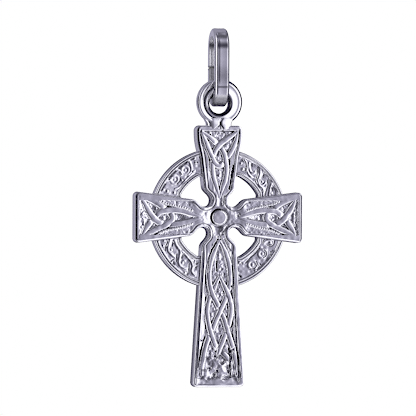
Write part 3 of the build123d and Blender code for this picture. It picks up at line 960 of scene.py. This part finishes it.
def on_cross(pick):
    """A place picked on the view of the ring, in millimetres from the middle of the cross."""
    photo = []
    for pixel, (first, second) in zip(pick, (QUARTERS_LEFT, QUARTERS_TOP)):
        if pixel < VIEW_SECOND - VIEW_GAP:
            photo.append(first + pixel / VIEW_ZOOM)
        else:
            photo.append(second + (pixel - VIEW_SECOND) / VIEW_ZOOM)
    right = (photo[0] - MIDDLE_ACROSS) / PIXELS_PER_MM_ACROSS
    return round(right, 2), round((MIDDLE_DOWN - photo[1]) * MM_PER_PIXEL_UP, 2)


def picked_route(picks, steps):
    """A curve on the cross through places picked on the view of the ring."""
    return smooth_route([on_cross(pick) for pick in picks], steps)


def ring_height(places, from_outer, from_hole, sizes):
    """Height of the ring's carved front over its plane, and how dark it is from tarnish and painted shade.
    """
    scroll = sizes.scroll_width
    sink = smooth_step(0.50, 0.62, from_outer) * smooth_step(0.46, 0.58, from_hole)
    rims = ridge(from_outer, 0.34, 0.11) + ridge(from_hole, 0.33, 0.11)
    to_left = smooth_step(3.0, -3.0, places[:, 0])
    # Painted shade in the grooves beside the rims, darker on the left
    black = (0.34 + 0.30 * to_left) * np.sqrt(rims)
    raised = np.zeros(len(places))
    for picks, half in STROKES:
        share = nearest_on_route(places, picked_route(picks, 4))[0] / (half * scroll)
        raised = np.maximum(raised, 0.56 * half * (1 - share**2))
    # Painted shade round each curl's bead, and round a large curl's loop
    for *pick, radius in CURLS:
        gap = np.hypot(*(places - on_cross(pick)).T)
        bead = min(radius, 0.21)
        bead_height, bead_dark = 0.42, 0.4
        if radius > 0.4:
            # A large curl has a loop round its bead
            bead_height, bead_dark = 0.2, 0.1
            raised = np.maximum(raised, 0.055 * (1 - ((gap - radius) / (0.17 * scroll)) ** 2))
            black = np.maximum(black, 0.3 * ridge(gap, radius + 0.2, 0.08))
        raised = np.maximum(raised, bead_height * bead * (1 - (gap / bead) ** 2))
        black = np.maximum(black, bead_dark * ridge(gap, bead + 0.08, 0.10))
    # The left half leans towards the hole
    across = from_hole / np.maximum(from_hole + from_outer, 0.1) - 0.5
    height = 0.26 * to_left * across - 0.11 * rims + raised * (sink > 0.3)
    height += sink * (0.03 * cast_noise(places, 0.35, 21) - 0.15)
    for picks, half in CUTS:
        gap, _ = nearest_on_route(places, picked_route(picks, 3))
        height -= 0.08 * ridge(gap, 0, half)
        black = np.maximum(black, 0.8 * np.sqrt(ridge(gap, 0, 0.85 * half)))
    # Painted shadow where the ring goes under the arms
    black = np.maximum(black, 0.7 * smooth_step(0.24, 0.08, cross_gap(places)))
    return height, black


class PENDANT_OT_cross(bpy.types.Operator):
    """Build the cast cross with its knotwork."""

    bl_idname = "pendant.make_cross"
    bl_label = "Make Cross"

    def execute(self, context):
        sizes = context.scene.pendant_casting
        step, bevel = mm(sizes.mesh_step), mm(sizes.edge_bevel)
        low = (-GRID_SIDE, SHAFT_CUT - math.ceil(GRID_BELOW_CUT / step) * step)
        grid = even_grid(low, (GRID_SIDE, GRID_TOP), step)
        shape = grid.shape[:2]
        flat = grid.reshape(-1, 2)
        inside = -cross_gap(flat)
        height, grooves, black = carved_height(flat, inside, sizes)
        recess = recess_tarnish(height.reshape(shape), round(RECESS_REACH / step))
        # The upper arm's left corner and the side arms are cleaner
        recess *= 1 - 0.7 * smooth_step(-1.3, -1.9, grid[..., 0]) * smooth_step(7.5, 8.5, grid[..., 1])
        recess *= 1 - 0.25 * smooth_step(3.5, 4.5, np.abs(grid[..., 0]))
        # Tarnish in the recesses, pits and stains, with the painted shade along the edges and round the boss
        dark = np.maximum(recess, black.reshape(shape))
        height = (height - grooves - np.clip(bevel - inside, 0, bevel)).reshape(shape)
        rise, lean = np.gradient(height, step)
        normals = np.stack([-lean, -np.ones(shape), -rise], axis=-1)
        normals /= np.linalg.norm(normals, axis=-1)[..., None]
        metal = silver("Cast silver", context.scene.pendant_colours, 0.35)
        for name, side in (("cross_plate", 1), ("shaft_plate", -1)):
            places, faces = fitted_grid(half_outline(side), grid, step)
            grids = (*np.moveaxis(normals, -1, 0), height, dark)
            *near, up, shade = [sampled(values, low, step, places) for values in grids]
            points, faces, directions, shade = closed_plate(
                places, faces, FRONT - up, np.stack(near, axis=1), shade, wall_rows(bevel), 0.6 * step)
            points[:, 2] += CROSS_Z
            piece = add_piece(name, points, faces, shade, "cross", "cross", directions)
            piece.data.materials.append(metal)
        return {"FINISHED"}


class PENDANT_OT_ring(bpy.types.Operator):
    """Build the ring behind the arms with its scrolls."""

    bl_idname = "pendant.make_ring"
    bl_label = "Make Ring"

    def execute(self, context):
        sizes = context.scene.pendant_ring
        outer, hole = mm(sizes.outer_radius), mm(sizes.hole_radius)
        angles = np.linspace(0, 2 * math.pi, RING_COLUMNS, endpoint=False)
        away = np.column_stack([np.cos(angles), np.sin(angles)])
        # Soft fillets where the hole meets the arms
        to_arm = cross_gap(hole * away + RING_HOLE_SHIFT)
        inner = hole - 0.42 * np.clip(1 - to_arm / 0.62, 0, 1) ** 2
        share = np.linspace(0, 1, RING_ROWS)[:, None]
        radius = inner + share * (outer - inner)
        shift = (1 - share) * np.array(RING_HOLE_SHIFT) + share * np.array(RING_RIM_SHIFT)
        places = (radius[..., None] * away + shift[:, None]).reshape(-1, 2)
        height, black = ring_height(places, (outer - radius).ravel(), (radius - inner).ravel(), sizes)
        recess = recess_tarnish(height.reshape(radius.shape), RING_RECESS_POINTS)
        # Tarnish in the recesses and cuts, with painted shade in the rim grooves, round the curls and under
        # the arms
        dark = np.maximum(0.15 * recess, black.reshape(radius.shape))
        rim = np.minimum(outer - radius, radius - inner).ravel()
        height = height - np.clip(0.12 - rim, 0, 0.12)
        height = height - 0.8 * smooth_step(0.05, 0.3, -cross_gap(places))
        depth = (RING_FRONT - height).reshape(radius.shape)
        # The carved rows from the hole to the rim, and then the plain walls and back
        layers = list(zip(radius, depth, shift, dark))
        layers += [(outer + out, deep, RING_RIM_SHIFT, shade) for out, deep, shade in RING_OUTER_WALL]
        layers += [(inner + out, deep, RING_HOLE_SHIFT, shade) for out, deep, shade in RING_HOLE_WALL]
        rings = np.empty((RING_COLUMNS, len(layers), 3))
        tarnish_and_shade = np.empty(rings.shape[:2])
        for n, (far, deep, (right, up), shade) in enumerate(layers):
            rings[:, n, 0] = far * away[:, 0] + right
            rings[:, n, 1] = deep
            rings[:, n, 2] = far * away[:, 1] + up + CROSS_Z
            tarnish_and_shade[:, n] = shade
        points, faces = closed_sweep(rings, True)
        piece = add_piece("ring", points, faces, tarnish_and_shade.ravel(), "cross", "cross")
        piece.data.materials.append(silver("Ring silver", context.scene.pendant_colours, 0.3))
        return {"FINISHED"}


class PENDANT_OT_eye(bpy.types.Operator):
    """Build the round eye and its neck."""

    bl_idname = "pendant.make_eye"
    bl_label = "Make Eye"

    def execute(self, context):
        sizes = context.scene.pendant_eye
        radius, hole, thick = mm(sizes.radius), mm(sizes.hole_radius), mm(sizes.thickness)
        colours = context.scene.pendant_colours
        drop = EYE_Z - EYE_HOLE_Z
        share, left_deep, right_deep, left_dark, right_dark = np.transpose(EYE_PROFILE)
        rings = []
        shade = []
        for turn in np.linspace(0, 2 * math.pi, EYE_STEPS, endpoint=False):
            x, z = math.cos(turn), math.sin(turn)
            # Where the same direction meets the hole, which sits lower
            lead = -EYE_SHIFT * x - drop * z
            inner = lead + math.sqrt(hole**2 + lead**2 - EYE_SHIFT**2 - drop**2)
            right = smooth_step(-0.45, 0.5, x)
            far = inner + (share + (1 - right) * 0.12 * np.sin(math.pi * share)) * (radius - inner)
            deep = (left_deep + right * (right_deep - left_deep)) * thick / EYE_PROFILE_THICKNESS
            rings.append(np.column_stack([EYE_SHIFT + far * x, deep, EYE_Z + far * z]))
            # Painted shade at the bottom of the hole, and the profile's painted shade on each side
            low = 0.95 * smooth_step(0.0, 0.6, -z) * (share < 0.22)
            shade.append(np.maximum(low, left_dark + right * (right_dark - left_dark)))
        points, faces = closed_sweep(rings, True)
        faces = [face[::-1] for face in faces]
        piece = add_piece("eye", points, faces, np.concatenate(shade), "cross", "cross")
        piece.data.materials.append(silver("Eye silver", colours, 0.15))

        turns = np.linspace(0, 2 * math.pi, NECK_POINTS, endpoint=False)
        across = np.cos(turns)
        in_front = np.sin(turns) < 0
        rings = []
        shade = []
        for share in np.linspace(0, 1, NECK_ROWS):
            half = 1.95 - 0.3 * smooth_step(0, 0.5, share) + 0.12 * smooth_step(0.7, 1, share)
            front = -0.70 - 0.25 * smooth_step(0.0, 0.65, share) + 0.08 * smooth_step(0.85, 1, share)
            x = half * across
            y = np.where(in_front, front, NECK_BACK) * (1 - np.abs(across) ** 3.6) ** 0.28
            # Both halves of the front lean to the right, and the seam between them forks further down
            line = 0.35 - 0.25 * smooth_step(0.0, 0.35, share)
            fork = 0.75 * smooth_step(0.45, 1.0, share)
            lean = np.where(x < line, (x + 0.8) / (line + 0.8), (x - line) / (1.5 - line))
            y -= 0.11 * (1 - np.clip(lean, 0, 1)) * np.clip(-2 * np.sin(turns), 0, 1)
            seam = sum(np.exp(-(((x - line - offset) / 0.10) ** 2)) for offset in (-fork, 0.5 * fork))
            seam = np.minimum(seam, 1) * in_front
            y += 0.08 * seam
            rings.append(np.column_stack([x, y, np.full(NECK_POINTS, NECK_TOP - NECK_LENGTH * share)]))
            # The seam is dark, and the right edge has painted shade
            shade.append(np.maximum(seam, smooth_step(1.7, 1.85, x)))
        points, faces = closed_sweep(rings, False)
        neck = add_piece("neck", points, faces, np.concatenate(shade), "cross", "cross")
        neck.data.materials.append(silver("Neck silver", colours, 0.3))
        return {"FINISHED"}


def bail_way(middle, upper, lower, split):
    """Points along the strap from one end at the split to the other, with the direction outwards."""
    turns = np.linspace(0, math.pi, 60)[1:]
    halfway = (upper + lower) / 2
    way = [(middle, z, 1, 0) for z in np.linspace(halfway - split / 2, lower, 46)]
    way += [(middle * math.cos(t), lower - middle * math.sin(t), math.cos(t), -math.sin(t)) for t in turns]
    way += [(-middle, z, -1, 0) for z in np.linspace(lower, upper, 90)[1:]]
    way += [(-middle * math.cos(t), upper + middle * math.sin(t), -math.cos(t), math.sin(t)) for t in turns]
    return way + [(middle, z, 1, 0) for z in np.linspace(upper, halfway + split / 2, 46)[1:]]


def strap_profile(width, thick):
    """The strap's cross section: places across it and outwards, with rounded edges and hollow faces."""
    profile = []
    flat, side = width / 2 - BAIL_EDGE, thick / 2 - BAIL_EDGE
    for quarter, (right, out) in enumerate(((1, 1), (-1, 1), (-1, -1), (1, -1))):
        for turn in np.radians(np.linspace(90 * quarter, 90 * quarter + 90, 8)):
            x, r = BAIL_EDGE * math.cos(turn), BAIL_EDGE * math.sin(turn)
            profile.append((right * flat + x, out * side + r))
        if right == out:
            for share in np.linspace(-1, 1, 9)[1:-1]:
                profile.append((-right * flat * share, out * (thick / 2 - BAIL_HOLLOW * (1 - share**2))))
        else:
            profile += [(right * width / 2, -out * side * share) for share in np.linspace(-1, 1, 6)[1:-1]]
    return np.transpose(profile)


class PENDANT_OT_bail(bpy.types.Operator):
    """Build the flat strap of the bail."""

    bl_idname = "pendant.make_bail"
    bl_label = "Make Bail"

    def execute(self, context):
        sizes = context.scene.pendant_bail
        width, thick, bend = mm(sizes.width), mm(sizes.thickness), mm(sizes.bend)
        way = bail_way(bend - thick / 2, thick - bend, PIVOT_Z, mm(sizes.split))
        across, out = strap_profile(width, thick)
        rings = []
        shade = []
        satin = []
        for n, (y, z, out_y, out_z) in enumerate(way):
            to_end = min(n, len(way) - 1 - n)
            shrink = BAIL_END_BEVEL * max(0.0, 1 - to_end * BAIL_ROW_STEP / BAIL_END_BEVEL) ** 2
            x = across - np.copysign(shrink, across) * (np.abs(across) > 0.5)
            far = out - np.copysign(shrink, out)
            rings.append(np.column_stack([x, y + far * out_y, z + far * out_z]))
            satin.append(np.where(out < -0.3, 1.0, 0.7 * smooth_step(-6.9, -7.5, z)))
            # Darker bands across the front leg and a fine dark line along it, and painted shade on the lower
            # bend, which is also duller, and on the right edge
            bands = 0.9 * ridge(z, -1.05, 0.55) + 0.4 * ridge(z, -4.9, 1.6) + 0.8 * ridge(z, -6.36, 0.17)
            line = 0.9 * smooth_step(0.1, -0.8, z) * smooth_step(-6.7, -5.2, z)
            face = bands * smooth_step(0.85, 0.55, np.abs(across)) + line * (np.abs(across + 0.42) < 0.03)
            face = (face + 0.52 * smooth_step(-7.0, -7.5, z)) * (out > 0.2)
            edge = 0.95 * smooth_step(width / 2 - 0.26, width / 2 - 0.18, across) * (out > -0.5)
            front = smooth_step(0.0, 0.5, -out_y)
            dark = front * np.clip(np.maximum(face, edge), 0, 1)
            # Painted shade on the strap's inner side away from the front, and then the dark ends at the
            # split
            rear = 0.85 * ridge(z, -0.7, 1.1) + 0.45 * smooth_step(-3.8, -4.0, z)
            dark = np.maximum(dark, (1 - front) * rear * (out < -0.3))
            shade.append(np.maximum(dark, 0.95 * max(0.0, 1 - to_end / 6)))
        points, faces = closed_sweep(rings, False)
        piece = add_piece("bail_strap", points, faces, np.concatenate(shade), "bail", "bail")
        layer = piece.data.attributes.new("satin", "FLOAT", "POINT")
        layer.data.foreach_set("value", np.concatenate(satin).astype(np.float32))
        piece.data.materials.append(silver("Bail silver", context.scene.pendant_colours, 0.06))
        return {"FINISHED"}


class PENDANT_OT_studio(bpy.types.Operator):
    """Set up the camera, the soft studio light and the pale floor."""

    bl_idname = "pendant.set_studio"
    bl_label = "Set Studio"

    def execute(self, context):
        scene = context.scene
        studio = scene.pendant_studio
        back = Vector((math.sin(studio.azimuth), -math.cos(studio.azimuth), 0))
        camera = bpy.data.objects.new("Camera", bpy.data.cameras.new("Camera"))
        camera.data.lens = studio.lens
        camera.data.sensor_width = SENSOR_WIDTH
        camera.location = Vector(CAMERA_AIM) * MM + back * studio.distance
        turn = (-back).to_track_quat("-Z", "Y").to_matrix().to_4x4()
        roll = Matrix.Rotation(studio.roll, 4, "Z")
        camera.matrix_world = Matrix.Translation(camera.location) @ turn @ roll
        camera.data.clip_start, camera.data.clip_end = 0.01, 20
        scene.collection.objects.link(camera)
        scene.camera = camera

        mesh = bpy.data.meshes.new("floor")
        corners = [(-1, -1), (1, -1), (1, 1), (-1, 1)]
        mesh.from_pydata([(FLOOR_HALF * x, FLOOR_HALF * y, -studio.floor_drop) for x, y in corners],
                         [], [(0, 1, 2, 3)])
        floor = bpy.data.objects.new("floor", mesh)
        scene.collection.objects.link(floor)
        floor.data.materials.append(pale_floor())
        floor.visible_glossy = False
        floor.visible_diffuse = False

        scene.world = studio_world(studio.grey)
        scene.view_settings.view_transform = "Standard"
        scene.view_settings.look = "None"

        # The photograph is sharpened, and so is the picture
        add = fresh_nodes(scene)
        crisp = add("CompositorNodeFilter", {
            "Fac": studio.sharpening, "Image": add("CompositorNodeRLayers", output="Image"),
        }, filter_type="SHARPEN_DIAMOND")
        add("CompositorNodeComposite", {"Image": crisp}, output=None)
        return {"FINISHED"}


def fresh_nodes(block):
    """Empties the nodes of a material, a world or the scene, and gives a short way to add new ones.

    An input is a number or another node's output. What comes back is one output, or the node itself
    where output is None.
    """
    block.use_nodes = True
    tree = block.node_tree
    tree.nodes.clear()

    def add(kind, inputs=(), output=0, **settings):
        node = tree.nodes.new(kind)
        for name, value in settings.items():
            setattr(node, name, value)
        for key, value in dict(inputs).items():
            if isinstance(value, bpy.types.NodeSocket):
                tree.links.new(value, node.inputs[key])
            else:
                node.inputs[key].default_value = value
        return node if output is None else node.outputs[output]
    return add


def add_noise(add, place, scale, detail=2.0):
    """A noise texture with features of one over its scale in metres."""
    return add("ShaderNodeTexNoise", {"Vector": place, "Scale": scale, "Detail": detail})


def add_range(add, value, start, end, low=0.0, high=1.0, kind="LINEAR"):
    """A value brought from the range of start to end into that of low to high."""
    limits = {"From Min": start, "From Max": end, "To Min": low, "To Max": high}
    return add("ShaderNodeMapRange", {"Value": value, **limits}, interpolation_type=kind)


def add_math(add, operation, *values, **settings):
    """One step of arithmetic on numbers and outputs."""
    return add("ShaderNodeMath", dict(enumerate(values)), operation=operation, **settings)


def add_mix(add, share, first, second):
    """Two colours mixed by a share of the second."""
    return add("ShaderNodeMix", {0: share, 6: first, 7: second}, output=2, data_type="RGBA")


def silver(name, colours, unevenness):
    """Polished silver with fine scratches, soft hand polished waves, tarnish in its recesses and painted
    shade.
    """
    material = bpy.data.materials.new(name)
    add = fresh_nodes(material)
    place = add("ShaderNodeTexCoord", output="Object")
    # The mesh attribute read here holds tarnish and painted shade, which darken the colour and roughen it
    tarnish_and_shade = add("ShaderNodeAttribute", output="Fac", attribute_name="tarnish_and_shade")
    satin = add("ShaderNodeAttribute", output="Fac", attribute_name="satin")
    clouds = add_noise(add, place, 900.0, 3.0)
    blotch = add_range(add, clouds, 0.35, 0.75, 0.0, 0.10 + 0.1 * unevenness)
    dark = add_math(add, "ADD", tarnish_and_shade, blotch, use_clamp=True)
    colour = add_mix(add, dark, (*colours.polished, 1), (*colours.tarnish_and_shade_colour, 1))
    rough = add_range(add, add_noise(add, place, 4200.0), 0.3, 0.7, 0.10, 0.18)
    rough = add_math(add, "MULTIPLY_ADD", tarnish_and_shade, 0.25, rough)
    rough = add_math(add, "MULTIPLY_ADD", satin, 0.4, rough)
    stretched = add("ShaderNodeMapping", {"Vector": place, "Scale": (1.0, 1.0, 0.12)})
    lines = add_noise(add, stretched, 9000.0)
    waves = add_noise(add, place, 1100.0, 1.0)
    scratches = add("ShaderNodeBump", {"Height": lines, "Strength": 0.5, "Distance": 0.0000012})
    bump = add("ShaderNodeBump", {
        "Height": waves, "Strength": 1.0, "Distance": 0.00004 * unevenness, "Normal": scratches})
    shader = add("ShaderNodeBsdfPrincipled", {
        "Base Color": colour, "Metallic": 1.0, "Roughness": rough, "Normal": bump})
    add("ShaderNodeOutputMaterial", {"Surface": shader}, output=None)
    return material


def pale_floor():
    """Plain pale paper that glows a little, so that it looks as pale as the ground of the photograph."""
    material = bpy.data.materials.new("Pale floor")
    add = fresh_nodes(material)
    grain = add_noise(add, add("ShaderNodeTexCoord", output="Object"), 300.0)
    shader = add("ShaderNodeBsdfPrincipled", {
        "Base Color": add_range(add, grain, 0.0, 1.0, 0.88, 0.92), "Roughness": 0.9,
        "Emission Color": (1, 1, 1, 1), "Emission Strength": 0.45})
    add("ShaderNodeOutputMaterial", {"Surface": shader}, output=None)
    return material


def add_ramp(add, angle, lowest, highest, stops, grey):
    """The room's colour by an angle, from a table of degrees and brightness."""
    share = add_range(add, angle, math.radians(lowest), math.radians(highest))
    node = add("ShaderNodeValToRGB", {"Fac": share}, output=None)
    elements = node.color_ramp.elements
    while len(elements) < len(stops):
        elements.new(0.5)
    for element, (degrees, light) in zip(elements, stops):
        element.position = (degrees - lowest) / (highest - lowest)
        # The soft boxes are nearly white, and the dim parts of the room have the tint of its grey
        white = min(max((light - 0.4) / 0.9, 0.0), 0.8)
        element.color = (*(light * (white + (1 - white) * part / grey[0]) for part in grey), 1)
    return node.outputs["Color"]


def studio_world(grey):
    """A white backdrop for the camera, and soft boxes in a grey room for the silver's reflections."""
    world = bpy.data.worlds.new("Studio")
    add = fresh_nodes(world)
    room = (*grey, 1)
    way = add("ShaderNodeTexCoord", output="Generated")
    x, y, z = add("ShaderNodeSeparateXYZ", {0: way}, output=None).outputs
    azimuth = add_math(add, "ARCTAN2", x, add_math(add, "MULTIPLY", y, -1.0))
    elevation = add_math(add, "ARCSINE", z)
    steep_angle = add_math(add, "ABSOLUTE", elevation)
    off_level = add_range(add, steep_angle, math.radians(9), math.radians(15), kind="SMOOTHSTEP")
    steep = add_range(add, steep_angle, math.radians(36), math.radians(52), kind="SMOOTHSTEP")
    behind = add_range(add, y, 0.05, 0.35, high=0.93, kind="SMOOTHSTEP")
    above = add_range(add, z, -0.1, 0.1)
    # Behind the pendant the room is plain, apart from a level band, and dark towards the floor
    round_colour = add_ramp(add, azimuth, -180, 180, ROOM_ROUND, grey)
    round_colour = add_mix(add, add_math(add, "MULTIPLY", behind, off_level), round_colour, room)
    up_colour = add_ramp(add, elevation, -90, 90, ROOM_UP, grey)
    far = add_mix(add, above, (0.04, 0.04, 0.05, 1), room)
    up_colour = add_mix(add, behind, up_colour, far)
    colour = add_mix(add, steep, round_colour, up_colour)
    seen = add("ShaderNodeLightPath", output="Is Camera Ray")
    shown = add_mix(add, seen, colour, (1, 1, 1, 1))
    light = add("ShaderNodeBackground", {"Color": shown, "Strength": 1.0})
    add("ShaderNodeOutputWorld", {"Surface": light}, output=None)
    return world


class PENDANT_PT_panel(bpy.types.Panel):
    """Lists the steps that build the pendant."""

    bl_label = "Celtic Cross Pendant"
    bl_idname = "PENDANT_PT_panel"
    bl_space_type = "VIEW_3D"
    bl_region_type = "UI"
    bl_category = "Pendant"

    def draw(self, context):
        for step in STEPS:
            self.layout.operator(step.bl_idname)


GROUPS = {
    "pendant_casting": CastingSizes,
    "pendant_ring": RingSizes,
    "pendant_eye": EyeSizes,
    "pendant_bail": BailSizes,
    "pendant_colours": SilverColours,
    "pendant_studio": StudioSettings,
}
STEPS = (PENDANT_OT_studio, PENDANT_OT_bail, PENDANT_OT_eye, PENDANT_OT_ring, PENDANT_OT_cross)


def register():
    for group in GROUPS.values():
        bpy.utils.register_class(group)
    for name, group in GROUPS.items():
        setattr(bpy.types.Scene, name, PointerProperty(type=group))
    for step in STEPS:
        bpy.utils.register_class(step)
    bpy.utils.register_class(PENDANT_PT_panel)


def unregister():
    bpy.utils.unregister_class(PENDANT_PT_panel)
    for step in reversed(STEPS):
        bpy.utils.unregister_class(step)
    for name, group in GROUPS.items():
        delattr(bpy.types.Scene, name)
        bpy.utils.unregister_class(group)


def main():
    register()
    bpy.ops.pendant.set_studio()
    bpy.ops.pendant.make_bail()
    bpy.ops.pendant.make_eye()
    bpy.ops.pendant.make_ring()
    bpy.ops.pendant.make_cross()


if __name__ == "__main__":
    main()
